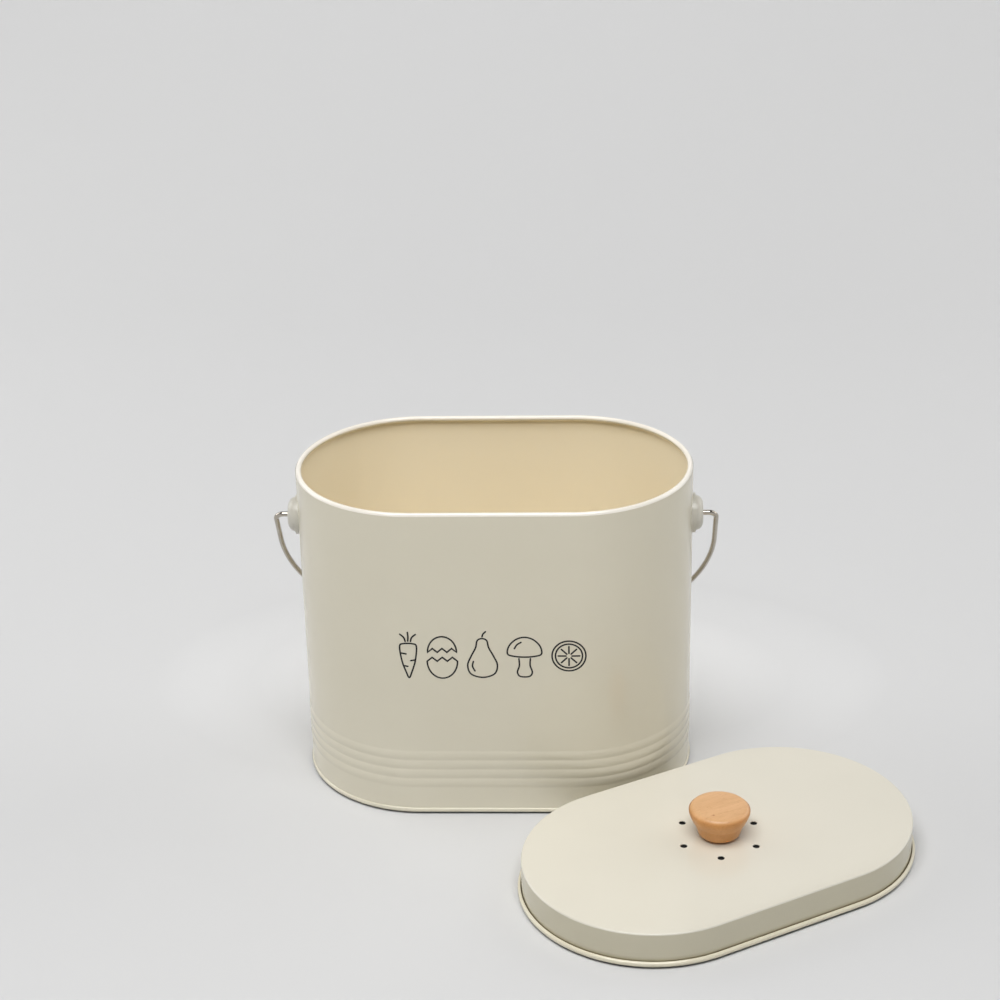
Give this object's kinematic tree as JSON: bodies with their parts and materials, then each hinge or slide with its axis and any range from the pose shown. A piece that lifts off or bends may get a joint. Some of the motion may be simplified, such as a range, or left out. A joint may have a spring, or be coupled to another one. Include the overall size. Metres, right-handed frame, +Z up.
{
  "type": "compost bucket",
  "caption": "Oval sheet-steel compost bucket with pressed beads and a swinging wire bail, beside its vented lid with a turned wooden knob and a charcoal filter inside.",
  "frame": {"origin": "the middle of the bucket's base, on the surface that it stands on", "axes": "+X along the bucket's long side, -Y towards its front, +Z up"},
  "size_m": [0.3855, 0.3115, 0.203],
  "materials": {
    "cream_enamel": "smooth satin cream powder coat",
    "plated_wire": "bright nickel plate",
    "beech": "turned and oiled, fine grain",
    "insert_brass": "turned",
    "zinc_steel": "bright zinc plate",
    "holder_plastic": "fine moulded texture",
    "charcoal_pad": "open felted fibre"
  },
  "bodies": {
    "bucket": {"body_wall": "cream_enamel", "base_plate": "cream_enamel", "ear_left": "cream_enamel", "ear_right": "cream_enamel"},
    "bail": {"bail_wire": "plated_wire"},
    "lid": {"lid_shell": "cream_enamel", "knob": "beech", "knob_insert": "insert_brass", "knob_screw": "zinc_steel", "knob_washer": "zinc_steel", "filter_holder": "holder_plastic", "charcoal_filter": "charcoal_pad"}
  },
  "joints": [
    {"name": "bail_swing", "type": "hinge", "parent": "bucket", "child": "bail", "pos_m": [0, 0, 0.1688], "axis": [1, 0, 0], "range_deg": [0, 295.5]},
    {"name": "lid_lift", "type": "slide", "parent": "bucket", "child": "lid", "axis": [0, 0, 1], "range_m": [0, 0.22]}
  ]
}
